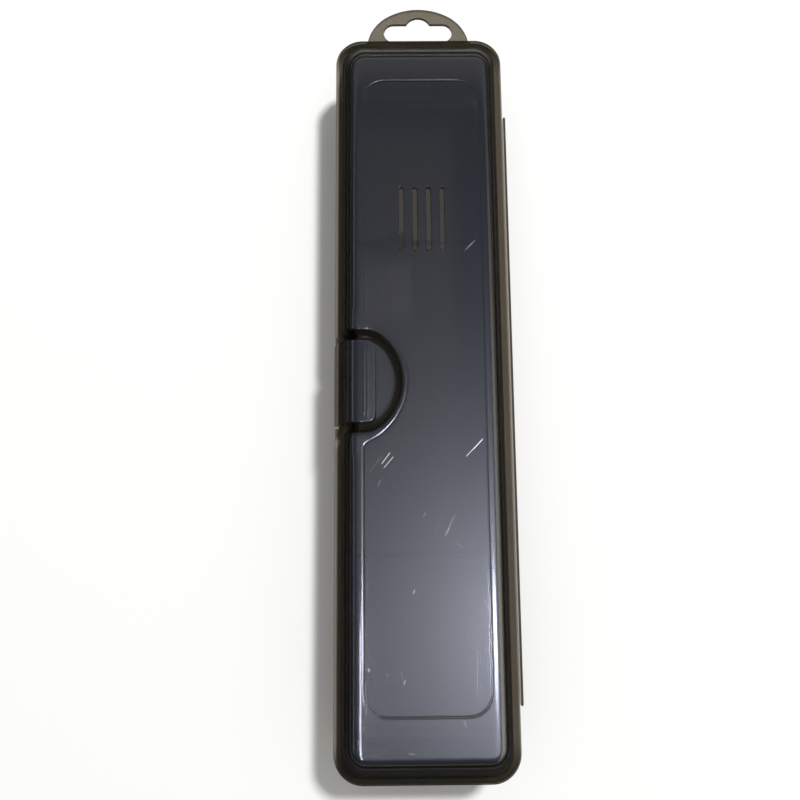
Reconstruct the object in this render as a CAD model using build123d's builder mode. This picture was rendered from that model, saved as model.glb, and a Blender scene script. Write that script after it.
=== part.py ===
from build123d import *
import os
from math import atan2, cos, radians, tan

# Electric toothbrush travel case, one polypropylene moulding folded shut by film hinges.
# Millimetres. X across the case (hinge at +X, latch at -X), Y along it (hang tab at +Y), Z up.
# The origin is the centre of the bottom face that the case rests on.

# Rim, seen from above
case_width = 52.0
case_length = 223.0
rim_corner_radius = 8.3
flange_width = 2.1
flange_thickness = 1.4
flange_edge_chamfer = 0.3

# Depths and walls
base_depth = 21.0
seam_gap = 0.1
lid_rise = 10.4
wall = 1.2
base_side_draft = 5.0
base_end_draft = 15.0
base_shoulder_inset = 0.2
lid_side_draft = 7.0
lid_end_draft = 32.0
lid_shoulder_inset = 1.2
least_inner_radius = 0.4

# Alignment lip that the lid drops over
lip_height = 1.4
lip_thickness = 0.9
lip_clearance = 0.2
lip_root = 2.0

# Panel outlines grooved in the two big faces
panel_side_margin = 8.75
panel_end_margin = 20.0
panel_corner_radius = 6.5
groove_width = 0.6
groove_depth = 0.3

# Vent slots in the lid
vent_count = 4
vent_pitch = 4.0
vent_width = 1.4
vent_length = 19.2
vent_middle_y = 47.8

# Hang tab with its hanging slot
tab_reach = 12.0
tab_shoulder_inset = 6.6
tab_shoulder_drop = 2.5
tab_foot_radius = 1.5
hang_slot_margin = 5.3
hang_slot_height = 6.2
hang_slot_offset = 3.7
hang_bump_radius = 4.2
hang_bump_offset = 4.9

# Thumb recess under the latch
latch_y = -0.3
recess_centre_inset = 2.7
recess_floor_radius = 15.2
recess_slope = 2.3
recess_half_width = 12.9
recess_blend = 2.0
recess_depth = 2.9
recess_groove_inset = 2.0
recess_groove_radius = 19.3
recess_groove_blend = 2.5
notch_depth = 1.4

# Latch flap
latch_width = 24.0
latch_thickness = 1.2
latch_shank_thickness = 0.8
latch_proud = 0.1
latch_side_clearance = 0.4
latch_knee_rise = 0.9
latch_knee_radius = 2.0
latch_shoulder_radius = 6.0
latch_reach = 12.4
latch_foot_inset = 0.9
latch_end_radius = 2.4
latch_lip_width = 1.7
latch_lip_thickness = 1.9
grip_rib_count = 2
grip_rib_pitch = 1.0
grip_rib_width = 0.45
grip_rib_height = 0.25
snap_width = 14.0
snap_reach = 1.5
snap_clearance = 0.15

# Film hinges and the spine strip between them
film_radius = 0.16
film_clearance = 0.04
film_height = 0.3
spine_thickness = 0.6
spine_length = 176.6
spine_middle_y = -2.8
spine_end_radius = 0.9
spine_end_cover = 0.1

# Cradle ribs inside the base
rib_places = (-50.0, 52.0)
rib_thickness = 1.2
rib_top = 11.5
handle_radius = 14.4
head_radius = 6.2
head_rest = 3.0

# Levels
lid_bottom = base_depth + seam_gap
lid_flange_top = lid_bottom + flange_thickness
lid_top = lid_flange_top + lid_rise
base_flange_bottom = base_depth - flange_thickness

# Half sizes
rim_half_x = case_width / 2
rim_half_y = case_length / 2
body_half_x = rim_half_x - flange_width
body_half_y = rim_half_y - flange_width
body_corner_radius = rim_corner_radius - flange_width
base_shoulder_radius = body_corner_radius - base_shoulder_inset
lid_shoulder_radius = body_corner_radius - lid_shoulder_inset

# Hinge axes
film_gap = film_radius + film_clearance
hinge_x = rim_half_x + film_gap
base_hinge_z = base_flange_bottom + film_height
lid_hinge_z = lid_flange_top - film_height

# Latch places
latch_outer_x = -rim_half_x - latch_proud
latch_inner_x = latch_outer_x + latch_shank_thickness
latch_hinge_x = latch_inner_x + film_gap
base_notch_x = latch_hinge_x + film_gap
latch_hinge_z = base_flange_bottom + film_height
latch_free_x = latch_outer_x + latch_reach
recess_x = -rim_half_x + recess_centre_inset
mouth_half_width = recess_half_width + recess_slope


def outline_size(side_draft, end_draft, inward, height=0.0):
    """Returns a half's width and length at a height from its mouth, moved inward by a wall."""
    half_x = body_half_x - height * tan(radians(side_draft)) - inward / cos(radians(side_draft))
    half_y = body_half_y - height * tan(radians(end_draft)) - inward / cos(radians(end_draft))
    return 2 * half_x, 2 * half_y


def drafted_form(mouth, depth, side_draft, end_draft, shoulder_radius, inward):
    """Returns a half's form from its mouth plane to its big face: drafted, then rounded all over."""
    with BuildPart() as form:
        with BuildSketch(mouth):
            Rectangle(*outline_size(side_draft, end_draft, inward))
        extrude(amount=depth - inward)
        draft(form.faces().filter_by(Axis.X), mouth, side_draft)
        draft(form.faces().filter_by(Axis.Y), mouth, end_draft)
        fillet(form.edges().group_by(Axis.Z)[1], max(body_corner_radius - inward, least_inner_radius))
        big_face = form.faces().sort_by(Axis(mouth.origin, mouth.z_dir))[-1]
        fillet(big_face.edges(), max(shoulder_radius - inward, least_inner_radius))
    return form.part


def lid_form(inward):
    """Returns the lid's form, moved inward by a wall."""
    mouth = Plane.XY.offset(lid_bottom)
    depth = lid_top - lid_bottom
    return drafted_form(mouth, depth, lid_side_draft, lid_end_draft, lid_shoulder_radius, inward)


def base_form(inward):
    """Returns the base's form, which opens upward, moved inward by a wall."""
    mouth = Plane(origin=(0, 0, base_depth), z_dir=(0, 0, -1))
    return drafted_form(mouth, base_depth, base_side_draft, base_end_draft, base_shoulder_radius, inward)


def groove_ring(outline, face_z, down):
    """Returns the shallow channel that follows an outline on a big face."""
    with BuildPart() as channel:
        with BuildSketch(Plane.XY.offset(face_z)):
            offset(outline, amount=groove_width / 2)
            offset(outline, amount=-groove_width / 2, mode=Mode.SUBTRACT)
        extrude(amount=-groove_depth if down else groove_depth)
    return channel.part


def recess_section(z, outward):
    """Returns the thumb recess at a level: a circle whose two sides are cut straight."""
    with BuildSketch(Plane.XY.offset(z)) as section:
        with Locations((recess_x, latch_y)):
            Circle(recess_floor_radius + outward)
            Rectangle(case_width, 2 * (recess_half_width + outward), mode=Mode.INTERSECT)
        fillet(section.vertices(), recess_blend)
    return section.sketch


def recess_well(bottom_z, outward):
    """Returns the thumb recess: a well with sloping sides over a floor parallel to the lid's own form."""
    floor_z = lid_top - recess_depth
    top_section = recess_section(lid_top, outward + recess_slope)
    with BuildPart() as well:
        extrude(recess_section(bottom_z, outward), amount=floor_z - bottom_z)
        loft([recess_section(floor_z, outward), top_section])
        extrude(top_section, amount=recess_depth)
        with BuildSketch(Plane.XY.offset(bottom_z)):
            with BuildLine():
                Polyline(
                    (-case_width, latch_y + mouth_half_width + outward),
                    (-body_half_x, latch_y + mouth_half_width + outward),
                    (-body_half_x + recess_depth, latch_y + recess_half_width + outward),
                    (-body_half_x + recess_depth, latch_y - recess_half_width - outward),
                    (-body_half_x, latch_y - mouth_half_width - outward),
                    (-case_width, latch_y - mouth_half_width - outward),
                    close=True,
                )
            make_face()
        extrude(amount=floor_z - bottom_z)
        add(lid_form(recess_depth + outward), mode=Mode.SUBTRACT)
    return well.part


def flange_notch():
    """Returns the notch in the lid's flange beside the latch, seen from above, with slanting ends."""
    with BuildSketch(Plane.XY.offset(lid_bottom)) as notch:
        with BuildLine():
            Polyline(
                (-case_width, latch_y + mouth_half_width),
                (-rim_half_x, latch_y + mouth_half_width),
                (-rim_half_x + notch_depth, latch_y + recess_half_width),
                (-rim_half_x + notch_depth, latch_y - recess_half_width),
                (-rim_half_x, latch_y - mouth_half_width),
                (-case_width, latch_y - mouth_half_width),
                close=True,
            )
        make_face()
    return notch.sketch


# Lid: flange, round-shouldered shell, thumb recess, vents and the grooved panel outline
with BuildPart() as lid_cavity:
    add(lid_form(wall))
    add(recess_well(lid_bottom - wall, wall), mode=Mode.SUBTRACT)

with BuildSketch() as lid_panel:
    RectangleRounded(
        case_width - 2 * panel_side_margin,
        case_length - 2 * panel_end_margin,
        panel_corner_radius,
    )
    with Locations((-rim_half_x + recess_groove_inset, latch_y)):
        Circle(recess_groove_radius, mode=Mode.SUBTRACT)
    recess_corners = (
        lid_panel.vertices().filter_by_position(Axis.X, -rim_half_x, 0)
        .filter_by_position(Axis.Y, latch_y - recess_groove_radius, latch_y + recess_groove_radius)
    )
    fillet(recess_corners, recess_groove_blend)

with BuildPart() as lid_shell:
    with BuildSketch(Plane.XY.offset(lid_bottom)):
        RectangleRounded(case_width, case_length, rim_corner_radius)
    extrude(amount=flange_thickness)
    chamfer(lid_shell.faces().sort_by(Axis.Z)[-1].edges(), flange_edge_chamfer)
    chamfer(lid_shell.faces().sort_by(Axis.Z)[0].edges(), flange_edge_chamfer)
    add(lid_form(0))
    add(recess_well(lid_flange_top, 0), mode=Mode.SUBTRACT)
    add(lid_cavity.part, mode=Mode.SUBTRACT)
    extrude(flange_notch(), amount=flange_thickness, mode=Mode.SUBTRACT)
    with BuildSketch(Plane.XY.offset(lid_top)):
        with Locations((0, vent_middle_y)):
            with GridLocations(vent_pitch, 0, vent_count, 1):
                SlotOverall(vent_length, vent_width, rotation=90)
    extrude(amount=-2 * wall, mode=Mode.SUBTRACT)
    add(groove_ring(lid_panel.sketch, lid_top, down=True), mode=Mode.SUBTRACT)

# Base: flange with the hang tab, round-bottomed shell, alignment lip and cradle ribs
tab_half_width = rim_half_x - rim_corner_radius - tab_foot_radius
tab_shoulder_x = tab_half_width - tab_shoulder_inset
hang_slot_half_width = tab_half_width - hang_slot_margin
tab_top_y = rim_half_y + tab_reach
tab_shoulder_y = tab_top_y - tab_shoulder_drop

with BuildSketch() as base_panel:
    RectangleRounded(
        case_width - 2 * panel_side_margin,
        case_length - 2 * panel_end_margin,
        panel_corner_radius,
    )

handle_z = wall + handle_radius
handle_x = body_half_x - wall - handle_radius - (base_depth - handle_z) * tan(radians(base_side_draft))
head_z = wall + head_rest + head_radius
head_x = -(body_half_x - wall - head_radius - (base_depth - head_z) * tan(radians(base_side_draft)))

with BuildPart() as cradle_ribs:
    for rib_y in rib_places:
        with BuildSketch(Plane.XZ.offset(-rib_y)):
            with Locations((0, rib_top / 2)):
                Rectangle(case_width, rib_top)
            with Locations((handle_x, handle_z)):
                Circle(handle_radius, mode=Mode.SUBTRACT)
            with Locations((head_x, head_z)):
                Circle(head_radius, mode=Mode.SUBTRACT)
        extrude(amount=rib_thickness / 2, both=True)
    add(base_form(wall / 2), mode=Mode.INTERSECT)

with BuildPart() as base_shell:
    with BuildSketch(Plane.XY.offset(base_flange_bottom)):
        RectangleRounded(case_width, case_length, rim_corner_radius)
        with BuildLine():
            crown = ThreePointArc(
                (-tab_shoulder_x, tab_shoulder_y), (0, tab_top_y), (tab_shoulder_x, tab_shoulder_y)
            )
            right_side = TangentArc(crown @ 1, (tab_half_width, rim_half_y), tangent=crown % 1)
            left_side = TangentArc(crown @ 0, (-tab_half_width, rim_half_y), tangent=-(crown % 0))
            Polyline(
                right_side @ 1,
                (tab_half_width, body_half_y),
                (-tab_half_width, body_half_y),
                left_side @ 1,
            )
        make_face()
        with Locations((0, rim_half_y + hang_slot_offset)):
            SlotOverall(2 * hang_slot_half_width, hang_slot_height, mode=Mode.SUBTRACT)
        with Locations((0, rim_half_y + hang_bump_offset)):
            Circle(hang_bump_radius, mode=Mode.SUBTRACT)
    extrude(amount=flange_thickness)
    tab_feet = (
        base_shell.edges().filter_by(Axis.Z)
        .filter_by_position(Axis.Y, rim_half_y - flange_edge_chamfer, rim_half_y + flange_edge_chamfer)
    )
    fillet(tab_feet, tab_foot_radius)
    chamfer(base_shell.faces().sort_by(Axis.Z)[0].edges(), flange_edge_chamfer)
    chamfer(base_shell.faces().sort_by(Axis.Z)[-1].edges(), flange_edge_chamfer)
    add(base_form(0))
    add(base_form(wall), mode=Mode.SUBTRACT)

    # The lip ring stands on a root that joins it to the wall, and stops short of the thumb recess
    lip_inset = wall + lip_clearance
    with BuildSketch(Plane.XY.offset(base_depth)):
        RectangleRounded(
            *outline_size(base_side_draft, base_end_draft, wall / 2), body_corner_radius - wall / 2
        )
    extrude(amount=-lip_root)
    with BuildSketch(Plane.XY.offset(base_depth)):
        RectangleRounded(
            *outline_size(lid_side_draft, lid_end_draft, lip_inset, lip_height),
            body_corner_radius - lip_inset,
        )
    extrude(amount=lip_height)
    with BuildSketch(Plane.XY.offset(base_depth + lip_height)):
        RectangleRounded(
            *outline_size(lid_side_draft, lid_end_draft, lip_inset + lip_thickness, lip_height),
            body_corner_radius - lip_inset - lip_thickness,
        )
    extrude(amount=-lip_height - lip_root, mode=Mode.SUBTRACT)
    with BuildSketch(Plane.XY.offset(base_depth)):
        with Locations((-rim_half_x, latch_y)):
            Rectangle(case_width, 2 * (mouth_half_width + lip_inset))
    extrude(amount=lip_height, mode=Mode.SUBTRACT)

    # Notch in the flange for the latch's foot and film
    with BuildSketch(Plane.XY.offset(base_flange_bottom)):
        with Locations((base_notch_x, latch_y)):
            Rectangle(
                case_width,
                latch_width + 2 * latch_side_clearance,
                align=(Align.MAX, Align.CENTER),
            )
    extrude(amount=flange_thickness, mode=Mode.SUBTRACT)

    add(cradle_ribs.part)
    add(groove_ring(base_panel.sketch, 0, down=False), mode=Mode.SUBTRACT)

# Latch flap: a shank up from its film, a strap over the lid's shoulder and a lip to lift
latch_corner_x = -(body_half_x - (lid_top - lid_bottom) * tan(radians(lid_side_draft)))
latch_knee_z = lid_flange_top + latch_knee_rise
latch_lean = atan2(latch_corner_x - latch_outer_x, lid_top - latch_knee_z)
strap_inner_x = latch_outer_x + latch_thickness / cos(latch_lean)
strap_inner_z = lid_top - latch_thickness
inner_corner_x = strap_inner_x + (strap_inner_z - latch_knee_z) * tan(latch_lean)
inner_knee_z = latch_knee_z + (latch_inner_x - strap_inner_x) / tan(latch_lean)
snap_z = lid_flange_top + snap_clearance
latch_side = Plane.XZ.offset(-latch_y)

with BuildPart() as latch_flap:
    with BuildSketch(latch_side):
        with BuildLine():
            outside = FilletPolyline(
                (latch_outer_x, latch_hinge_z),
                (latch_outer_x, latch_knee_z),
                (latch_corner_x, lid_top),
                (latch_free_x, lid_top),
                radius=(latch_knee_radius, latch_shoulder_radius),
            )
            inside = FilletPolyline(
                (latch_inner_x, latch_hinge_z),
                (latch_inner_x, inner_knee_z),
                (inner_corner_x, strap_inner_z),
                (latch_free_x, strap_inner_z),
                radius=(latch_knee_radius, latch_shoulder_radius - latch_thickness),
            )
            Line(outside @ 0, inside @ 0)
            Line(outside @ 1, inside @ 1)
        make_face()
        with Locations((latch_free_x - latch_lip_width / 2, lid_top - latch_lip_thickness / 2)):
            Rectangle(latch_lip_width, latch_lip_thickness)
    extrude(amount=latch_width / 2, both=True)
    free_corners = latch_flap.edges().filter_by(Axis.Z).group_by(Axis.X)[-1]
    fillet(free_corners, latch_end_radius)
    with BuildSketch(Plane.YZ.offset(latch_outer_x)):
        with BuildLine():
            Polyline(
                (latch_y + latch_width / 2 - latch_foot_inset, latch_hinge_z),
                (latch_y + latch_width / 2, latch_knee_z),
                (latch_y + latch_width / 2, lid_top),
                (latch_y - latch_width / 2, lid_top),
                (latch_y - latch_width / 2, latch_knee_z),
                (latch_y - latch_width / 2 + latch_foot_inset, latch_hinge_z),
                close=True,
            )
        make_face()
    extrude(amount=latch_reach, mode=Mode.INTERSECT)
    with BuildSketch(latch_side):
        with Locations((latch_free_x - latch_lip_width - grip_rib_pitch, lid_top)):
            with GridLocations(grip_rib_pitch, 0, grip_rib_count, 1):
                Rectangle(grip_rib_width, 2 * grip_rib_height)
    extrude(amount=(latch_width / 2 - latch_end_radius), both=True)
    with BuildSketch(latch_side):
        with BuildLine():
            Polyline(
                (latch_inner_x, snap_z),
                (latch_inner_x + snap_reach, snap_z),
                (strap_inner_x, latch_knee_z + snap_reach),
                (latch_inner_x, latch_knee_z),
                close=True,
            )
        make_face()
    extrude(amount=snap_width / 2, both=True)

# Spine: the strip that carries one film along each long edge
spine_bottom_z = base_hinge_z - spine_end_cover
spine_top_z = lid_hinge_z + spine_end_cover

with BuildPart() as hinge_spine:
    with BuildSketch(Plane.YZ.offset(hinge_x + film_gap)):
        with Locations((spine_middle_y, (spine_bottom_z + spine_top_z) / 2)):
            RectangleRounded(spine_length, spine_top_z - spine_bottom_z, spine_end_radius)
    extrude(amount=spine_thickness)


def film(x, y, z, length):
    """Returns the rounded web of one film hinge, lying along Y on its fold line."""
    with BuildPart() as web:
        with BuildSketch(Plane.XZ.offset(-y)):
            with Locations((x, z)):
                Circle(film_radius)
        extrude(amount=length / 2, both=True)
    return web.part


with BuildPart() as base_hinge_film:
    add(film(hinge_x, spine_middle_y, base_hinge_z, spine_length - 2 * spine_end_radius))

with BuildPart() as lid_hinge_film:
    add(film(hinge_x, spine_middle_y, lid_hinge_z, spine_length - 2 * spine_end_radius))

with BuildPart() as latch_hinge_film:
    add(film(latch_hinge_x, latch_y, latch_hinge_z, latch_width))

os.makedirs("parts", exist_ok=True)
base_shell.part.label = "base_shell"
lid_shell.part.label = "lid_shell"
hinge_spine.part.label = "hinge_spine"
base_hinge_film.part.label = "base_hinge_film"
lid_hinge_film.part.label = "lid_hinge_film"
latch_flap.part.label = "latch_flap"
latch_hinge_film.part.label = "latch_hinge_film"
export_step(base_shell.part, "parts/base_shell.step")
export_step(lid_shell.part, "parts/lid_shell.step")
export_step(hinge_spine.part, "parts/hinge_spine.step")
export_step(base_hinge_film.part, "parts/base_hinge_film.step")
export_step(lid_hinge_film.part, "parts/lid_hinge_film.step")
export_step(latch_flap.part, "parts/latch_flap.step")
export_step(latch_hinge_film.part, "parts/latch_hinge_film.step")
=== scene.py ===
import copy
import math

import bmesh
import bpy
import numpy as np
from mathutils import Matrix, Vector
from mathutils.geometry import tessellate_polygon


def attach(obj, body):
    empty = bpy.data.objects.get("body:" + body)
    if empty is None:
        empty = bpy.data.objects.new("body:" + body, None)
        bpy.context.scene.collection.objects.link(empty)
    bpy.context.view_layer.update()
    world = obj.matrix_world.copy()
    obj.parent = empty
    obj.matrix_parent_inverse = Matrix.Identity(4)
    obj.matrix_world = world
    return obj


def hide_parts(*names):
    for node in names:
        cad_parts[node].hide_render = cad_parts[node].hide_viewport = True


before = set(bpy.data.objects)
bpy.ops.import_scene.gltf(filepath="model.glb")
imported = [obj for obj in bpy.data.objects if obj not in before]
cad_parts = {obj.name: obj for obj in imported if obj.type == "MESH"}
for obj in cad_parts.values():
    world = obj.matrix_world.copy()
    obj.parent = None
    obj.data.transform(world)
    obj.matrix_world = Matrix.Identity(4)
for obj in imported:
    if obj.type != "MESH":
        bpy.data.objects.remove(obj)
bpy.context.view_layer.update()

MM = 0.001

# Camera: where it stands over the case and how it is turned, in millimetres and degrees
CAMERA_PLACE = (-8.26, -42.14, 255.65)
CAMERA_TILT, CAMERA_PAN, CAMERA_ROLL = 9.198, -0.37, -0.499
CAMERA_SENSOR, CAMERA_LENS = 36.0, 36.0

# Rims and walls, in millimetres
RIM_HALF_X, RIM_HALF_Y, RIM_RADIUS = 26.0, 111.5, 8.3
BODY_HALF_X, BODY_HALF_Y, BODY_RADIUS = 23.9, 109.4, 6.2
WALL = 1.2
EDGE_RADIUS, EDGE_MARGIN, FOOT_RADIUS = 0.3, 0.06, 0.35
LEAST_RADIUS, LEAST_CORNER, SHARP_ANGLE = 0.4, 0.05, 40.0
WALL_SHARES = (0, 0.03, 0.3, 0.7, 1)
BASE_FLANGE_BOTTOM, BASE_TOP = 19.6, 21.0
LID_BOTTOM, LID_FLANGE_TOP, LID_TOP = 21.1, 22.5, 32.9
BASE_DRAFTS, LID_DRAFTS = (5.0, 15.0), (7.0, 32.0)
BASE_SHOULDERS, LID_SHOULDERS = (6.0, 6.0), (4.1, 5.0)
LID_HALF_Y = 110.3
LID_SLIDE, SLIDE_FROM, SLIDE_SPAN = 1.4, 60.0, 35.0
CROWN_X, CROWN_WIDTH, CROWN_RADIUS = 17.5, 1.3, 16.0
CROWN_PAST_LATCH, CROWN_ABOVE = (19.5, 4.0), (24.0, 8.0)  # where each begins, and over how far

# Grooved panels, alignment lip and vents. A gap or notch has a depth, a half width, a slope and a softness
PANEL_HALF_X, PANEL_HALF_Y, PANEL_RADIUS = 17.25, 91.5, 6.5
GROOVE_HALF_WIDTH, GROOVE_DEPTHS, GROOVE_ENDS = 0.52, (0.06, 0.12), (84.0, 92.0)
GROOVE_MARGINS, FACE_START, UNDER_END = (0.08, 0.05), 0.5, -0.6
LIP_TOP, LIP_FOOT, LIP_GAP = 22.4, 19.0, (22.4 - BASE_TOP, 16.7, 0.3, 0.05)
LIP_OUTER, LIP_INNER = (22.317, 106.874, 4.8), (21.411, 105.813, 3.9)
LIP_LEVELS = 20.6, 19.1, 19.02
VENT_XS, VENT_Y, VENT_HALF_LENGTH, VENT_HALF_WIDTH = (-6.0, -2.0, 2.0, 6.0), 47.8, 9.6, 0.7

# Rounded edges: how far each ring is drawn in, and its depth from the near face or its share of the height
VENT_EDGE = [(0.26, 0), (0.2, 0), (0.1, 0.03), (0.03, 0.1), (0, 0.2)]
HANG_EDGE = [(0.4, 0), (0.3, 0), (0.14, 0.04), (0.04, 0.14), (0, 0.3)]
STRIP_EDGE = [(0.3, 0), (0.18, 0), (0.08, 0.03), (0.02, 0.09), (0, 0.18)]
LIP_OUTSIDE = [(-0.15, 0), (0, 0.02), (0, 0.82), (0.06, 0.95), (0.2, 1), (0.3, 1)]
LIP_INSIDE = [(-0.3, 1), (-0.2, 1), (-0.06, 0.95), (0, 0.82)]

# Hang tab and its slot: centres and radii of their arcs, and where the arcs meet
TAB_CROWN, TAB_SIDE, TAB_FOOT = ((0, 103.818), 19.682), ((3.168, 109.489), 13.186), ((17.428, 113.0), 1.5)
TAB_CROWN_TURN, TAB_SIDE_REACH, TAB_FOOT_REACH = math.radians(60.81), (12.804, 3.152), (14.26, 3.511)
HANG_END, HANG_BUMP, HANG_BUMP_TURN = ((7.8, 115.2), 3.1), ((0, 116.4), 4.2), math.radians(26.9)

# Thumb recess, the groove that bends round it and the flange notch beside the latch
LATCH_Y = -0.3
RECESS_X, RECESS_RADIUS, RECESS_HALF_WIDTH = -23.3, 15.2, 12.9
RECESS_SLOPE, RECESS_DEPTH, RECESS_BLEND = 2.3, 2.9, 1.2
BEND_X, BEND_RADIUS, BEND_BLEND = -24.0, 19.3, 2.5
LATCH_ZONE = 23.0
LID_NOTCH, FOOT_NOTCH = (1.4, RECESS_HALF_WIDTH + RECESS_SLOPE, RECESS_SLOPE, 0.06), (1.1, 12.5, 0.25, 0.08)

# Latch flap. Its falls below the top run from shoulder to free end. A grip rib has a place across the case, a
# half width and a height; a station of the snap has a share of the half width and how far the section shrinks
FLAP_OUTER_X, FLAP_INNER_X, FLAP_FREE_X = -26.1, -25.3, -13.7
FLAP_FOOT_Z, FLAP_KNEE_Z, FLAP_CORNER_X = 19.9, 23.4, -22.451
FLAP_HALF_WIDTH, FLAP_END_RADIUS, FLAP_FOOT_INSET = 12.0, 2.4, 0.9
FLAP_THICKNESS, FLAP_LIP_WIDTH, FLAP_LIP_DROP = 1.2, 1.7, 1.9
FLAP_EDGE_RADIUS, FLAP_END_BEVEL, FLAP_TOP_DEPTH = 0.32, 0.6, 0.6
FLAP_CROWN_X, FLAP_FALLS = -16.9, (0.3, 0.11, 0.29, 0.8)
FLAP_OUTSIDE_RADII, FLAP_INSIDE_RADII = (2.0, 6.0, 30.0, 1.0, 0.15), (2.0, 4.8, 0.3, 0.2)
FLAP_COARSE_SHARE, FLAP_COARSE_POINTS, FLAP_FINE_POINTS = 0.7, 70, 90
FLAP_STATIONS, FLAP_EDGE_STATIONS, FLAP_THIN_SHARE = 60, 6, 0.45
GRIP_RIBS = ((-16.95, 0.34, 0.11), (-16.0, 0.34, 0.11))
GRIP_HALF_LENGTH, GRIP_END_SLOPE, GRIP_EASE = 9.6, 0.3, 0.2
SNAP_CORNERS = [(-25.9, 22.9), (-25.9, 22.65), (-24.1, 22.65), (-24.1, 22.9), (-25.0, 24.85), (-25.4, 24.6)]
SNAP_RADII, SNAP_HALF_WIDTH, SNAP_POINTS = (0.1, 0.12, 0.12, 0.1, 0.1), 7.0, 60
SNAP_STATIONS = [(-1, 0.12), (-0.995, 0.04), (-0.985, 0), (0.985, 0), (0.995, 0.04), (1, 0.12)]

# Hinge spine and cradle ribs, and the circles of the handle and of the head that the ribs hold
SPINE_X, SPINE_THICKNESS, SPINE_HALF_LENGTH, SPINE_MIDDLE_Y = 26.4, 0.6, 88.3, -2.8
SPINE_BOTTOM, SPINE_TOP, SPINE_END_RADIUS = 19.8, 22.3, 0.9
CRADLE_YS, CRADLE_THICKNESS, CRADLE_TOP = (-50.0, 52.0), 1.2, 11.5
CRADLE_ENDS, CRADLE_POINTS, CRADLE_EDGE_RADIUS, CRADLE_LEAST = (-22.6, 22.0), 200, 0.25, 0.4
CRADLE_FOOT_X, CRADLE_FOOT_Z, CRADLE_FOOT_RADIUS = 17.4, 0.7, 5.3
BRUSH_CIRCLES = ((7.828, 15.6, 14.4), (-15.573, 10.4, 6.2))

# How many rings each form has, and how many points a ring has on its sides, at its ends and round a corner
GROOVE_RINGS, FACE_RINGS, UNDER_RINGS, WALL_RINGS, EDGE_RINGS, FOOT_RINGS = 15, 44, 36, 7, 5, 6
LID_SHOULDER_RINGS, BASE_SHOULDER_RINGS, INNER_SHOULDER_RINGS = 24, 16, 9
HINGE_SIDE_POINTS, TAB_END_POINTS, NEAR_END_POINTS, CORNER_POINTS = 70, 130, 40, 16
LATCH_SIDE_POINTS, LATCH_SIDE_TAIL, TAIL_SPREAD = 190, 26, 1.3


def mix(a, b, t):
    """The value a part t of the way from a to b."""
    return a + (b - a) * t


def soft_ramp(t, ease=0.1):
    """Rises from 0 to 1 with t, eased at both ends: half of 1 + sqrt(t^2 + e^2) - sqrt((t - 1)^2 + e^2)."""
    return 0.5 * (1 + np.sqrt(t * t + ease * ease) - np.sqrt((t - 1) ** 2 + ease * ease))


def ring_grid():
    """Goes once round a rounded rectangle. A point is (ax, ay) times the corner centres plus (nx, ny) times
    the corner radius; points are close together beside the latch and on the hang tab."""
    zone = LATCH_ZONE / (BODY_HALF_Y - BODY_RADIUS)
    tail = zone + (1 - zone) * np.linspace(0, 1, LATCH_SIDE_TAIL + 1)[1:] ** TAIL_SPREAD
    latch_side = np.concatenate([tail[::-1], np.linspace(zone, -zone, LATCH_SIDE_POINTS), -tail])
    hinge_side = np.linspace(-1, 1, HINGE_SIDE_POINTS)
    tab_end = np.linspace(1, -1, TAB_END_POINTS)
    near_end = np.linspace(-1, 1, NEAR_END_POINTS)
    turn = np.linspace(0, math.pi / 2, CORNER_POINTS + 2)[1:-1]
    one, cosine, sine = np.ones(CORNER_POINTS), np.cos(turn), np.sin(turn)
    parts = [
        (hinge_side * 0 + 1, hinge_side, hinge_side * 0 + 1, hinge_side * 0),
        (one, one, cosine, sine),
        (tab_end, tab_end * 0 + 1, tab_end * 0, tab_end * 0 + 1),
        (-one, one, -sine, cosine),
        (latch_side * 0 - 1, latch_side, latch_side * 0 - 1, latch_side * 0),
        (-one, -one, -cosine, -sine),
        (near_end, near_end * 0 - 1, near_end * 0, near_end * 0 - 1),
        (one, -one, sine, -cosine),
    ]
    return [np.concatenate([part[k] for part in parts]) for k in range(4)]


AX, AY, NX, NY = ring_grid()
ON_END = NY ** 2
ON_LATCH_SIDE = NX == -1
BY_LATCH = np.flatnonzero(ON_LATCH_SIDE & (np.abs(AY) * (BODY_HALF_Y - BODY_RADIUS) <= LATCH_ZONE + 1e-6))
ON_TAB_END = np.flatnonzero(NY == 1)


def outline(half_x, half_y, radius):
    """A rounded rectangle: corner centres pushed outward by the corner radius."""
    return np.stack([AX * (half_x - radius) + radius * NX, AY * (half_y - radius) + radius * NY], 1)


def arc(centre, radius, start, end, count=60):
    """Points along an arc between two angles in radians."""
    angle = np.linspace(start, end, count)
    return np.stack([centre[0] + radius * np.cos(angle), centre[1] + radius * np.sin(angle)], 1)


def spaced(line, count=0, closed=False, places=None):
    """Points at even distances along a broken line, or at given shares of its length."""
    if closed:
        line = np.concatenate([line, line[:1]])
    along = np.concatenate([[0], np.cumsum(np.linalg.norm(np.diff(line, axis=0), axis=1))])
    if places is None:
        places = np.linspace(0, 1, count + 1)[:-1] if closed else np.linspace(0, 1, count)
    return np.stack([np.interp(places * along[-1], along, line[:, k]) for k in range(2)], 1)


def mirrored(right, middle):
    """A line up one side, through its middle, and back down the first side's mirror image."""
    return np.concatenate([right, middle, (right * [-1, 1])[::-1]])


def right_of(line, closed=False):
    """Unit normals on the right of a line's direction, from the step between each point's neighbours."""
    step = np.roll(line, -1, 0) - np.roll(line, 1, 0) if closed else np.gradient(line, axis=0)
    return np.stack([step[:, 1], -step[:, 0]], 1) / np.linalg.norm(step, axis=1)[:, None]


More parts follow.
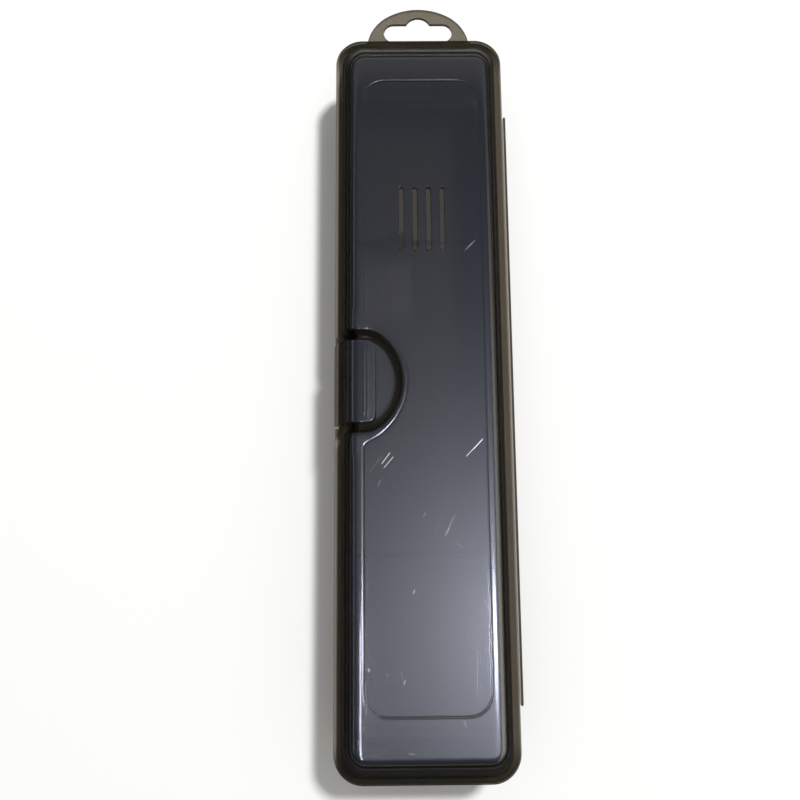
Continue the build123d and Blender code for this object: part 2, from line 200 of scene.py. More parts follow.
def rounded_line(corners, radii):
    """A broken line whose inner corners are rounded: each arc is tangent to both of its straight runs."""
    corners = [np.array(c, float) for c in corners]
    runs = [corners[0][None]]
    for before, corner, after, radius in zip(corners, corners[1:], corners[2:], radii):
        back = (before - corner) / np.linalg.norm(before - corner)
        ahead = (after - corner) / np.linalg.norm(after - corner)
        half_angle = math.acos(float(np.clip(back @ ahead, -1, 1))) / 2
        reach = radius / math.tan(half_angle)
        middle = (back + ahead) / np.linalg.norm(back + ahead)
        centre = corner + middle * radius / math.sin(half_angle)
        chord = mix(corner + back * reach, corner + ahead * reach, np.linspace(0, 1, 24)[:, None]) - centre
        runs.append(centre + radius * chord / np.linalg.norm(chord, axis=1)[:, None])
    runs.append(corners[-1][None])
    return np.concatenate(runs)


def bend_line():
    """The groove's run past the thumb recess: straight, a small blend, a wide arc, a blend and straight."""
    blend_x = -PANEL_HALF_X + BEND_BLEND
    blend_y = math.sqrt((BEND_RADIUS + BEND_BLEND) ** 2 - (blend_x - BEND_X) ** 2)
    angle = math.atan2(blend_y, blend_x - BEND_X)
    upper = arc((blend_x, blend_y), BEND_BLEND, math.pi, math.pi + angle, 30)
    wide = arc((BEND_X, 0), BEND_RADIUS, angle, -angle, 200)
    line = np.concatenate([upper, wide[1:-1], (upper * [1, -1])[::-1]]) + [0, LATCH_Y]
    return np.concatenate([[[-PANEL_HALF_X, LATCH_ZONE]], line, [[-PANEL_HALF_X, -LATCH_ZONE]]])


def panel_ring(offset, bends=False):
    """The grooved outline moved outward; on the lid its latch side bends round the thumb recess."""
    ring = outline(PANEL_HALF_X + offset, PANEL_HALF_Y + offset, PANEL_RADIUS + offset)
    if bends:
        line = spaced(bend_line(), LATCH_SIDE_POINTS)
        zone = LATCH_ZONE / (BODY_HALF_Y - BODY_RADIUS)
        share = (np.abs(AY) - zone) / (1 - zone)
        along = np.sign(AY) * mix(LATCH_ZONE, PANEL_HALF_Y - PANEL_RADIUS, share)
        ring[ON_LATCH_SIDE, 1] = along[ON_LATCH_SIDE]
        ring[BY_LATCH] = line + offset * right_of(line)
    return ring


def raised(ring, z):
    """A ring of points in space: an outline at a level, or with a level for each point."""
    return np.column_stack([ring, np.broadcast_to(z, len(ring))])


def recess_push(points, outward):
    """How far the thumb recess moves a surface in: a soft ramp down its sloping rim. The rim's outline is a
    circle cut by two straight sides, joined by a smooth greater-of-two of their distances."""
    x, y = points[:, 0], points[:, 1]
    round_edge = np.hypot(x - RECESS_X, y - LATCH_Y) - RECESS_RADIUS - outward
    straight_edge = np.abs(y - LATCH_Y) - RECESS_HALF_WIDTH - outward
    gap = round_edge - straight_edge
    distance = 0.5 * (round_edge + straight_edge + np.sqrt(gap * gap + RECESS_BLEND ** 2))
    return RECESS_DEPTH * (x < 0) * soft_ramp(1 - distance / RECESS_SLOPE)


def pushed(points, lean, sign, outward):
    """A ring moved in by the thumb recess, against a normal that leans from level towards the big face."""
    push = recess_push(points, outward)
    level = push * np.cos(lean)
    return points - np.column_stack([level * NX, level * NY, sign * push * np.sin(lean)])


class Half:
    """One half's form: walls that lean in by a draft of their own on the sides and on the ends, and a round
    shoulder into the big face. An inset gives the same form moved inward by the wall. A slide moves both ends
    along as they rise."""

    def __init__(self, mouth_z, face_z, drafts, shoulders, inset, half_y, recess=False, slide=0.0):
        self.mouth_z, self.sign = mouth_z, 1 if face_z > mouth_z else -1
        self.depth = abs(face_z - mouth_z) - inset
        self.radii = [max(radius - inset, LEAST_RADIUS) for radius in shoulders]
        self.corner = max(BODY_RADIUS - inset, LEAST_RADIUS)
        self.leans = [math.radians(draft) for draft in drafts]
        self.mouths = [h - inset / math.cos(a) for h, a in zip((BODY_HALF_X, half_y), self.leans)]
        self.inset, self.recess, self.slide = inset, recess, slide

    def ring(self, halves, heights, leans, corner):
        """A ring from the sides' and the ends' half size, height and lean, blended round the corners."""
        height = mix(heights[0], heights[1], ON_END)
        flat = self.slid(outline(halves[0], halves[1], max(corner, LEAST_CORNER)), height / self.depth)
        points = raised(flat, self.mouth_z + self.sign * height)
        lean = mix(leans[0], leans[1], ON_END)
        return pushed(points, lean, self.sign, self.inset) if self.recess else points

    def slid(self, flat, share):
        """Both ends moved along as they rise, so that the far end leans more than the near one."""
        by_end = np.clip((np.abs(flat[:, 1]) - SLIDE_FROM) / SLIDE_SPAN, 0, 1)
        flat[:, 1] -= self.slide * share * by_end
        return flat

    def wall(self, start, share):
        """A ring of the wall, a share of the way from a height above the mouth to the shoulder."""
        tops = [self.depth - r * (1 - math.sin(a)) for r, a in zip(self.radii, self.leans)]
        heights = [mix(start, top, share) for top in tops]
        halves = [m - h * math.tan(a) for m, h, a in zip(self.mouths, heights, self.leans)]
        return self.ring(halves, heights, self.leans, self.corner)

    def shoulder(self, share):
        """A ring of the shoulder: an arc that turns from the wall's lean to upright."""
        halves, heights, leans, moved = [], [], [], []
        for mouth, lean, radius in zip(self.mouths, self.leans, self.radii):
            centre = mouth - self.depth * math.tan(lean) - radius * math.tan((math.pi / 2 - lean) / 2)
            angle = mix(lean, math.pi / 2, share)
            halves.append(centre + radius * math.cos(angle))
            heights.append(self.depth - radius * (1 - math.sin(angle)))
            leans.append(angle)
            moved.append(radius * (math.cos(lean) - math.cos(angle)))
        return self.ring(halves, heights, leans, self.corner - 0.5 * sum(moved))

    def flat_ring(self, inner, share):
        """A ring of the big face between a grooved outline and the shoulder's edge."""
        plain = copy.copy(self)
        plain.recess = False
        points = raised(mix(inner, plain.shoulder(1.0)[:, :2], share), self.mouth_z + self.sign * self.depth)
        return pushed(points, math.pi / 2, self.sign, self.inset) if self.recess else points


def through(edge, thickness):
    """A sheet's edge from its near face to its far one: the places given, then the same in mirror image."""
    return edge + [(inset, thickness - depth) for inset, depth in edge[::-1]]


def groove_rings(face_z, sign, bends):
    """The shallow channel that follows the panel's outline: half of 1 + cos of the way across, times a depth
    that grows towards the two ends."""
    depth = np.interp(np.abs(panel_ring(0, bends)[:, 1]), GROOVE_ENDS, GROOVE_DEPTHS)
    rings = [raised(panel_ring(-GROOVE_HALF_WIDTH - GROOVE_MARGINS[0], bends), face_z)]
    for share in np.linspace(-1, 1, GROOVE_RINGS):
        down = depth * 0.5 * (1 + math.cos(math.pi * share))
        rings.append(raised(panel_ring(share * GROOVE_HALF_WIDTH, bends), face_z - sign * down))
    return rings + [raised(panel_ring(GROOVE_HALF_WIDTH + GROOVE_MARGINS[1], bends), face_z)]


def crowned(ring):
    """The lid's long edges fall away gently before the shoulder: a circular crown, then its slope kept on,
    fading down the wall and away beside the thumb recess."""
    out = np.clip(np.abs(ring[:, 0]) - CROWN_X, 0, None)
    round_part = np.minimum(out, CROWN_WIDTH)
    drop = (round_part ** 2 / 2 + CROWN_WIDTH * (out - round_part)) / CROWN_RADIUS
    past_latch = (np.abs(ring[:, 1] - LATCH_Y) - CROWN_PAST_LATCH[0]) / CROWN_PAST_LATCH[1]
    clear = np.where(ring[:, 0] < 0, np.clip(past_latch, 0, 1), 1)
    high = np.clip((ring[:, 2] - CROWN_ABOVE[0]) / CROWN_ABOVE[1], 0, 1)
    return ring - np.column_stack([drop * 0, drop * 0, drop * clear * high])


def beside_latch(depth, half_width, slope, ease):
    """A cut beside the latch, on its side only: its depth, with a soft ramp to 0 at a half width from the
    latch's middle. The lid's flange has a trapezoid and the base's a square notch for the latch's foot."""
    away = np.abs(AY * (BODY_HALF_Y - BODY_RADIUS) - LATCH_Y)
    return depth * ON_LATCH_SIDE * soft_ramp((half_width - away) / slope, ease)


def tab_line():
    """The hang tab's outline: a flat crown arc, a tangent arc down each side and a small round foot."""
    crown = arc(*TAB_CROWN, TAB_CROWN_TURN, math.pi - TAB_CROWN_TURN)
    side = arc(*TAB_SIDE, math.atan2(*TAB_SIDE_REACH[::-1]), TAB_CROWN_TURN)
    foot = arc(*TAB_FOOT, -math.pi / 2, math.atan2(*TAB_FOOT_REACH[::-1]) - math.pi, 20)
    right = np.concatenate([[[BODY_HALF_X - BODY_RADIUS, RIM_HALF_Y]], foot, side[1:-1]])
    return mirrored(right, crown)


def rim_ring(inset, on_base):
    """The flange's edge moved inward, with the notch beside the latch and, on the base, the hang tab."""
    ring = outline(RIM_HALF_X - inset, RIM_HALF_Y - inset, RIM_RADIUS - inset)
    ring[:, 0] += beside_latch(*(FOOT_NOTCH if on_base else LID_NOTCH))
    if on_base:
        line = spaced(tab_line(), TAB_END_POINTS)
        ring[ON_TAB_END] = line - inset * right_of(line)
    return ring


def rim_rings(bottom, top, on_base=False):
    """The flange's edge from its under side to its top, with rounded edges: quarter arcs joined by a wall."""
    turns = np.linspace(0, math.pi / 2, EDGE_RINGS)
    edge = [(EDGE_RADIUS + EDGE_MARGIN, 0)]
    edge += [(EDGE_RADIUS * (1 - math.sin(t)), EDGE_RADIUS * (1 - math.cos(t))) for t in turns]
    return [raised(rim_ring(inset, on_base), bottom + above) for inset, above in through(edge, top - bottom)]


def foot_rings(half, flange_face, start):
    """The small fillet from a wall down to the flange: a quarter arc that turns outward."""
    foot = half.wall(start, 0.0)[:, :2]
    outward = np.column_stack([NX, NY])
    turns = steps(FOOT_RINGS) * math.pi / 2
    places = [(FOOT_RADIUS * (1 - math.cos(t)), FOOT_RADIUS * (1 - math.sin(t))) for t in turns]
    places.append((FOOT_RADIUS + EDGE_MARGIN, 0))
    return [raised(foot + out * outward, flange_face + half.sign * above) for out, above in places]


def slot_outline(half_length, half_width, centre):
    """A slot along Y: two half circles joined by straight sides."""
    reach = half_length - half_width
    far_end = arc((0, reach), half_width, 0, math.pi, 24)
    near_end = arc((0, -reach), half_width, math.pi, 2 * math.pi, 24)
    return np.concatenate([far_end, near_end]) + centre


def hang_slot_outline():
    """The hanging slot: a long slot across the tab with a round bump in the middle of its far side."""
    right = arc(*HANG_END, -math.pi / 2, math.pi / 2, 40)
    bump = arc(*HANG_BUMP, HANG_BUMP_TURN, math.pi - HANG_BUMP_TURN, 40)
    return spaced(mirrored(right, bump), 150, closed=True)


class Shell:
    """Builds one closed surface from bands of rings and from flat fills between them."""

    def __init__(self):
        self.points, self.faces, self.count = [], [], 0

    def band(self, rings):
        """Adds rings, each joined to the next with quads; returns the first's and the last's indices."""
        size, rows = len(rings[0]), len(rings)
        row, column = np.meshgrid(np.arange(rows - 1), np.arange(size), indexing="ij")
        here, above, ahead = row * size, (row + 1) * size, (column + 1) % size
        quads = np.stack([here + column, here + ahead, above + ahead, above + column], -1)
        self.faces += (quads.reshape(-1, 4) + self.count).tolist()
        self.points += rings
        first = np.arange(size) + self.count
        self.count += rows * size
        return first, first + (rows - 1) * size

    def fill(self, outer, holes=()):
        """Fills a level outline, round any holes in it, with flat triangles."""
        points = np.concatenate(self.points)
        loops = [outer] + list(holes)
        order = np.concatenate(loops)
        corners = tessellate_polygon([[Vector((x, y, 0)) for x, y, _ in points[loop]] for loop in loops])
        self.faces += [[int(order[k]) for k in corner] for corner in corners]

    def finish(self, name, body, slot, material):
        """Makes a smooth mesh, joins points at one place, turns its normals outward, and has it ride."""
        mesh = bpy.data.meshes.new(name)
        mesh.from_pydata((np.concatenate(self.points) * MM).tolist(), [], self.faces)
        work = bmesh.new()
        work.from_mesh(mesh)
        bmesh.ops.remove_doubles(work, verts=work.verts, dist=1e-9)
        bmesh.ops.recalc_face_normals(work, faces=work.faces)
        work.to_mesh(mesh)
        work.free()
        mesh.shade_smooth()
        mesh.set_sharp_from_angle(angle=math.radians(SHARP_ANGLE))
        mesh.materials.append(material)
        piece = bpy.data.objects.new(name, mesh)
        bpy.context.collection.objects.link(piece)
        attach(piece, body)
        return piece


def capped(rings):
    """A solid bar: its rings joined one to the next, and a flat face over each end."""
    shell = Shell()
    first, last = shell.band(rings)
    shell.faces += [first.tolist(), last.tolist()]
    return shell


def steps(count):
    """Even shares from 0 to 1, without the 0 that the ring before already has."""
    return np.linspace(0, 1, count)[1:]


def lid_surface():
    """The lid: grooved panel, big face with the recess, shoulder, wall, flange and the same again inside."""
    outer, inner = (
        Half(LID_BOTTOM, LID_TOP, LID_DRAFTS, LID_SHOULDERS, inset, LID_HALF_Y, recess=True, slide=LID_SLIDE)
        for inset in (0, WALL)
    )
    foot = LID_FLANGE_TOP - LID_BOTTOM + FOOT_RADIUS
    shell = Shell()
    rings = groove_rings(LID_TOP, 1, True)
    rings += [crowned(outer.flat_ring(panel_ring(FACE_START, True), s)) for s in steps(FACE_RINGS)]
    rings += [crowned(outer.shoulder(1 - s)) for s in steps(LID_SHOULDER_RINGS)]
    rings += [crowned(outer.wall(foot, 1 - s)) for s in steps(WALL_RINGS)]
    rings += foot_rings(outer, LID_FLANGE_TOP, foot)
    rings += rim_rings(LID_BOTTOM, LID_FLANGE_TOP)[::-1]
    rings += [inner.wall(0, s) for s in WALL_SHARES]
    rings += [inner.shoulder(s) for s in steps(INNER_SHOULDER_RINGS)]
    rings += [inner.flat_ring(panel_ring(UNDER_END, True), 1 - s) for s in steps(UNDER_RINGS)]
    top, under = shell.band(rings)
    top_holes, under_holes = [], []
    for x in VENT_XS:
        slots = []
        for out, down in through(VENT_EDGE, WALL):
            line = slot_outline(VENT_HALF_LENGTH + out, VENT_HALF_WIDTH + out, (x, VENT_Y))
            slots.append(raised(line, LID_TOP - down))
        above, below = shell.band(slots)
        top_holes.append(above)
        under_holes.append(below)
    shell.fill(top, top_holes)
    shell.fill(under, under_holes)
    return shell


def base_surface():
    """The base: grooved bottom, shoulder, wall, flange with the hang tab, alignment lip and the inside."""
    outer, inner = (Half(BASE_TOP, 0, BASE_DRAFTS, BASE_SHOULDERS, inset, BODY_HALF_Y) for inset in (0, WALL))
    foot = BASE_TOP - BASE_FLANGE_BOTTOM + FOOT_RADIUS
    shell = Shell()
    rings = groove_rings(0, -1, False)
    rings += [outer.flat_ring(panel_ring(FACE_START), s) for s in (0.5, 1)]
    rings += [outer.shoulder(1 - s) for s in steps(BASE_SHOULDER_RINGS)]
    rings += [outer.wall(foot, 1 - s) for s in steps(WALL_RINGS)]
    rings += foot_rings(outer, BASE_FLANGE_BOTTOM, foot)
    bottom, wall_foot = shell.band(rings)
    rim_under, rim_top = shell.band(rim_rings(BASE_FLANGE_BOTTOM, BASE_TOP, on_base=True))
    height = LIP_TOP - BASE_TOP - beside_latch(*LIP_GAP)
    rings = []
    for size, section in ((LIP_OUTER, LIP_OUTSIDE), (LIP_INNER, LIP_INSIDE)):
        for inset, share in section:
            rings.append(raised(outline(*(measure - inset for measure in size)), BASE_TOP + share * height))
    rings += [raised(outline(*LIP_INNER), z) for z in LIP_LEVELS]
    rings += [inner.wall(BASE_TOP - LIP_FOOT, s) for s in WALL_SHARES]
    rings += [inner.shoulder(s) for s in steps(INNER_SHOULDER_RINGS)]
    lip_foot, floor = shell.band(rings)
    slot_line = hang_slot_outline()
    outward = right_of(slot_line, closed=True)
    edge = through(HANG_EDGE, BASE_TOP - BASE_FLANGE_BOTTOM)
    slots = [raised(slot_line + out * outward, BASE_FLANGE_BOTTOM + above) for out, above in edge]
    slot_under, slot_top = shell.band(slots)
    shell.fill(bottom)
    shell.fill(rim_under, [wall_foot, slot_under])
    shell.fill(rim_top, [lip_foot, slot_top])
    shell.fill(floor)
    return shell


def flap_section():
    """The flap's section: up the outside, over the shoulder to the lip, and back along the inside. Both
    runs have the same number of points, so that the ends close with a ladder between them."""
    lean = math.atan2(FLAP_CORNER_X - FLAP_OUTER_X, LID_TOP - FLAP_KNEE_Z)
    inner_x = FLAP_OUTER_X + FLAP_THICKNESS / math.cos(lean)
    inner_top = LID_TOP - FLAP_THICKNESS
    inner_corner_x = inner_x + (inner_top - FLAP_KNEE_Z) * math.tan(lean)
    inner_knee_z = FLAP_KNEE_Z + (FLAP_INNER_X - inner_x) / math.tan(lean)
    lip_x, lip_z = FLAP_FREE_X - FLAP_LIP_WIDTH, LID_TOP - FLAP_LIP_DROP
    outside = rounded_line(
        [(FLAP_OUTER_X, FLAP_FOOT_Z), (FLAP_OUTER_X, FLAP_KNEE_Z), (FLAP_CORNER_X, LID_TOP - FLAP_FALLS[0]),
         (FLAP_CROWN_X, LID_TOP), (FLAP_FREE_X - FLAP_END_BEVEL, LID_TOP - FLAP_FALLS[1]),
         (FLAP_FREE_X, LID_TOP - FLAP_FALLS[2]), (FLAP_FREE_X, LID_TOP - FLAP_FALLS[3])],
        FLAP_OUTSIDE_RADII,
    )
    inside = rounded_line(
        [(FLAP_INNER_X, FLAP_FOOT_Z), (FLAP_INNER_X, inner_knee_z), (inner_corner_x, inner_top),
         (lip_x, inner_top), (lip_x, lip_z), (FLAP_FREE_X, lip_z)],
        FLAP_INSIDE_RADII,
    )
    coarse = np.linspace(0, FLAP_COARSE_SHARE, FLAP_COARSE_POINTS)[:-1]
    places = np.concatenate([coarse, np.linspace(FLAP_COARSE_SHARE, 1, FLAP_FINE_POINTS)])
    return spaced(outside, places=places), spaced(inside, places=places)


def flap_half_widths(line):
    """The flap's half width along its section: narrower at its foot, and round at its free corners."""
    x, z = line[:, 0], line[:, 1]
    foot = FLAP_FOOT_INSET * np.clip((FLAP_KNEE_Z - z) / (FLAP_KNEE_Z - FLAP_FOOT_Z), 0, 1)
    into = np.clip(x - (FLAP_FREE_X - FLAP_END_RADIUS), 0, FLAP_END_RADIUS)
    return FLAP_HALF_WIDTH - foot - FLAP_END_RADIUS + np.sqrt(FLAP_END_RADIUS ** 2 - into * into)


def flap_surface():
    """The latch flap: its section carried across its width, edges rounded, and two low grip ribs on top, each
    half of 1 + cos of the way across it."""
    outside, inside = flap_section()
    half = len(outside)
    section = np.concatenate([outside, inside[::-1]])
    outward = -right_of(section, closed=True)
    radius = np.minimum(FLAP_EDGE_RADIUS, FLAP_THIN_SHARE * np.linalg.norm(outside - inside, axis=1))
    radius = np.concatenate([radius, radius[::-1]])
    widths = flap_half_widths(section)
    turns = np.linspace(0, math.pi / 2, FLAP_EDGE_STATIONS)
    edge = [(1.0, math.sin(t), 1 - math.cos(t)) for t in turns]
    middle = [(share, 0.0, 0.0) for share in np.linspace(-1, 1, FLAP_STATIONS)[1:-1]]
    stations = [(-1.0, s, d) for _, s, d in edge[::-1]] + middle + edge
    top = (np.arange(2 * half) < half) & (section[:, 1] > LID_TOP - FLAP_TOP_DEPTH)
    rib = sum(
        tall * (0.5 + 0.5 * np.cos(np.pi * np.clip((section[:, 0] - x) / half_across, -1, 1)))
        for x, half_across, tall in GRIP_RIBS
    )
    rings = []
    for side, out, drop in stations:
        y = side * (widths - radius) + np.sign(side) * radius * out
        line = section - (radius * drop)[:, None] * outward
        lift = rib * top * soft_ramp((GRIP_HALF_LENGTH - np.abs(y)) / GRIP_END_SLOPE + 0.5, GRIP_EASE)
        rings.append(np.column_stack([line[:, 0], LATCH_Y + y, line[:, 1] + lift]))
    shell = Shell()
    first, last = shell.band(rings)
    for end in (first, last):
        out, back = end[:half], end[half:][::-1]
        shell.faces += np.stack([out[:-1], out[1:], back[1:], back[:-1]], -1).tolist()
    return shell


def snap_surface():
    """The snap rib inside the flap: a wedge with small round edges, carried across its width."""
    section = spaced(rounded_line(SNAP_CORNERS + SNAP_CORNERS[:1], SNAP_RADII), SNAP_POINTS, closed=True)
    centre = section.mean(0)
    rings = []
    for share, shrink in SNAP_STATIONS:
        ring = mix(section, centre, shrink)
        y = np.full(SNAP_POINTS, LATCH_Y + share * SNAP_HALF_WIDTH)
        rings.append(np.column_stack([ring[:, 0], y, ring[:, 1]]))
    return capped(rings)


def spine_surface():
    """The hinge spine: a round-cornered strip, its outline drawn in over both faces for rounded edges."""
    half_z, middle_z = (SPINE_TOP - SPINE_BOTTOM) / 2, (SPINE_TOP + SPINE_BOTTOM) / 2
    rings = []
    for inset, out in through(STRIP_EDGE, SPINE_THICKNESS):
        radius = SPINE_END_RADIUS - inset
        long, tall = SPINE_HALF_LENGTH - inset - radius, half_z - inset - radius
        line = np.concatenate([
            arc(corner, radius, quarter * math.pi / 2, (quarter + 1) * math.pi / 2, 10)
            for quarter, corner in enumerate([(long, tall), (-long, tall), (-long, -tall), (long, -tall)])
        ])
        x = np.full(len(line), SPINE_X + out)
        rings.append(np.column_stack([x, SPINE_MIDDLE_Y + line[:, 0], middle_z + line[:, 1]]))
    return capped(rings)


def cradle_surface(y):
    """A cradle rib: its top follows the handle's and the head's circles, its foot the base's inside."""
    x = np.linspace(*CRADLE_ENDS, CRADLE_POINTS)
    top = np.full(CRADLE_POINTS, CRADLE_TOP)
    for cx, cz, radius in BRUSH_CIRCLES:
        across = np.clip(1 - ((x - cx) / radius) ** 2, 0, None)
        top = np.where(across > 0, np.minimum(top, cz - radius * np.sqrt(across)), top)
    side = np.clip(np.abs(x) - CRADLE_FOOT_X, 0, None)
    foot_curve = np.sqrt(np.clip(CRADLE_FOOT_RADIUS ** 2 - side * side, 0, None))
    foot = CRADLE_FOOT_Z + CRADLE_FOOT_RADIUS - foot_curve
    top = np.maximum(top, foot + CRADLE_LEAST)
    half, radius = CRADLE_THICKNESS / 2, CRADLE_EDGE_RADIUS
    turns = np.linspace(0, math.pi / 2, EDGE_RINGS)
    edge = [(half - radius + radius * math.cos(t), top - radius + radius * math.sin(t)) for t in turns]
    profile = [(half, foot)] + edge
    profile += [(-across, level) for across, level in profile[::-1]]
    lines = [np.column_stack([x, np.full(CRADLE_POINTS, y + across), level]) for across, level in profile]
    return capped(list(np.stack(lines, 1)))


def new_material(name):
    """Returns an empty node material with its tree and its output node."""
    material = bpy.data.materials.new(name)
    material.use_nodes = True
    material.node_tree.nodes.clear()
    return material, material.node_tree, material.node_tree.nodes.new("ShaderNodeOutputMaterial")


def shader_node(tree, kind, operation=None, **values):
    """Adds a node and sets its inputs, by name or as _0, _1 by place."""
    made = tree.nodes.new(kind)
    if operation:
        made.operation = operation
    for key, value in values.items():
        socket = made.inputs[int(key[1:])] if key[0] == "_" else made.inputs[key.replace("_", " ")]
        if isinstance(value, bpy.types.NodeSocket):
            tree.links.new(value, socket)
        else:
            socket.default_value = value
    return made


def maths(tree, operation, *values):
    """A step of arithmetic on one value or two, each plain or from a node."""
    places = {f"_{place}": value for place, value in enumerate(values)}
    return shader_node(tree, "ShaderNodeMath", operation, **places).outputs[0]


def vector_maths(tree, operation, result, **values):
    """A step of arithmetic on vectors, each plain or from a node, with the result of the name given."""
    return shader_node(tree, "ShaderNodeVectorMath", operation, **values).outputs[result]


def product(tree, one, other):
    """One value times another."""
    return maths(tree, "MULTIPLY", one, other)


def added(tree, one, other):
    """The sum of two values."""
    return maths(tree, "ADD", one, other)


def span(tree, value, low, high, at_low, at_high):
    """A value carried from one range to another and held at its ends."""
    kept = shader_node(
        tree, "ShaderNodeMapRange", Value=value, From_Min=low, From_Max=high, To_Min=at_low, To_Max=at_high,
    )
    return kept.outputs[0]


def rise(tree, value, low, high):
    """From 0 at the low value to 1 at the high one, and held there."""
    return span(tree, value, low, high, 0.0, 1.0)


def fall(tree, value, low, high):
    """From 1 at the low value to 0 at the high one, and held there."""
    return span(tree, value, low, high, 1.0, 0.0)


def put(tree, shader, **values):
    """Adds a shader and returns what it gives."""
    return shader_node(tree, shader, **values).outputs[0]


def colour_mix(tree, share, one, other):
    """A colour between two others, each plain or from a node."""
    mixed = tree.nodes.new("ShaderNodeMix")
    mixed.data_type = "RGBA"
    tree.links.new(share, mixed.inputs["Factor"])
    for socket, colour in ((mixed.inputs[6], one), (mixed.inputs[7], other)):
        if isinstance(colour, bpy.types.NodeSocket):
            tree.links.new(colour, socket)
        else:
            socket.default_value = (*colour, 1)
    return mixed.outputs[2]


# Where the finish changes, and where the painted rim light and the painted end shade lie: places in metres,
# and how far the surface's normal points up or down
FLANGE_FADE, END_START, END_STOP = (0.0, 0.0013), (0.1, 0.108), (0.1113, 0.1118)
RIM_SHIFT, RIM_START = 0.00025, (0.02515, 0.0256)
LEVEL_LEAN, POLISHED_LEAN, STEEP_LEAN, UPWARD_LEAN = (0.5, 0.85), (0.6, 0.93), (0.2, 0.85), (0.1, 0.6)


def finish_group():
    """How the moulding's surface lies, from its place and its lean. Polished is the big faces and the
    shoulders. Flange is the level band round the mouth, or the whole band where any lean counts. Rim is the
    band's outer edge along the sides, wider on the latch side, where a painted light is laid. Steep is the
    walls, through which a look from above meets more plastic. Upward faces the lid's side, and Ends is
    towards the two short ends, where the band gets a painted shade."""
    group = bpy.data.node_groups.new("mould_finish", "ShaderNodeTree")
    for name in ("Band middle", "Band reach", "Any lean"):
        group.interface.new_socket(name, in_out="INPUT", socket_type="NodeSocketFloat")
    for name in ("Polished", "Flange", "Rim", "Steep", "Upward", "Ends"):
        group.interface.new_socket(name, in_out="OUTPUT", socket_type="NodeSocketFloat")
    entry, out = group.nodes.new("NodeGroupInput").outputs, group.nodes.new("NodeGroupOutput").inputs
    place = group.nodes.new("ShaderNodeTexCoord").outputs
    parts = shader_node(group, "ShaderNodeSeparateXYZ", _0=place["Object"]).outputs
    lean = shader_node(group, "ShaderNodeSeparateXYZ", _0=place["Normal"]).outputs["Z"]
    apart = maths(group, "ABSOLUTE", maths(group, "SUBTRACT", parts["Z"], entry["Band middle"]))
    past = maths(group, "SUBTRACT", apart, entry["Band reach"])
    upright = maths(group, "ABSOLUTE", lean)
    across = maths(group, "ABSOLUTE", maths(group, "SUBTRACT", parts["X"], RIM_SHIFT))
    along = maths(group, "ABSOLUTE", parts["Y"])
    level = rise(group, added(group, upright, entry["Any lean"]), *LEVEL_LEAN)
    ends = product(group, rise(group, along, *END_START), fall(group, along, *END_STOP))
    for name, value in (
        ("Polished", product(group, rise(group, past, *FLANGE_FADE), rise(group, upright, *POLISHED_LEAN))),
        ("Flange", product(group, fall(group, past, *FLANGE_FADE), level)),
        ("Rim", product(group, rise(group, across, *RIM_START), fall(group, ends, 0.0, 1.0))),
        ("Steep", fall(group, upright, *STEEP_LEAN)),
        ("Upward", rise(group, lean, *UPWARD_LEAN)),
        ("Ends", ends),
    ):
        group.links.new(value, out[name])
    return group


# Fine scratches on the lid: from one place to another, a half width in millimetres and how strong each is
SCRATCHES = [
    (11.65, -22.01, 16.18, -17.31, 0.13, 1.0), (13.45, -20.24, 16.04, -17.59, 0.19, 1.0),
    (-12.02, -23.94, -9.77, -20.97, 0.12, 0.95), (-11.41, -25.06, -8.86, -22.1, 0.11, 0.9),
    (-15.14, -26.0, -12.54, -22.07, 0.07, 0.35), (-13.24, -23.79, -11.98, -21.99, 0.06, 0.35),
    (-10.05, -26.32, -8.09, -24.11, 0.07, 0.3), (-13.16, -30.25, -12.29, -28.24, 0.12, 0.4),
    (12.48, 38.01, 15.46, 41.03, 0.08, 0.6), (13.37, 38.91, 14.56, 40.12, 0.12, 0.7),
    (5.4, -43.83, 7.84, -38.5, 0.1, 0.5), (5.35, -43.89, 6.49, -41.84, 0.13, 0.6),
    (2.47, -43.43, 3.52, -39.64, 0.09, 0.3), (-0.62, -38.65, -0.2, -37.69, 0.16, 0.4),
    (3.85, -43.17, 5.01, -39.92, 0.07, 0.25), (13.46, -74.26, 13.14, -85.3, 0.07, 0.55),
    (-7.05, -79.74, -6.68, -82.3, 0.14, 0.35), (-6.42, -83.07, -6.01, -81.93, 0.15, 0.6),
    (-7.33, -81.27, -6.14, -81.54, 0.07, 0.3), (-11.01, -80.47, -10.67, -80.86, 0.2, 0.4),
    (-15.95, -79.01, -15.58, -79.53, 0.22, 0.7), (9.45, -92.48, 10.16, -93.88, 0.12, 0.55),
    (-5.26, -100.55, -3.69, -100.69, 0.1, 0.5), (15.76, -61.2, 16.52, -63.32, 0.1, 0.6),
    (15.95, -64.36, 17.25, -66.21, 0.09, 0.6), (8.74, -46.19, 10.09, -47.28, 0.12, 0.35),
    (-3.64, -59.31, -3.31, -58.38, 0.2, 0.6), (-6.01, -63.11, -5.47, -68.36, 0.1, 0.3),
    (3.6, -74.16, 5.8, -71.59, 0.06, 0.3),
]
SCRATCH_CORE, SCRATCH_COVER, SCRATCH_COLOUR = 0.4, 0.9, (0.8, 0.8, 0.86)


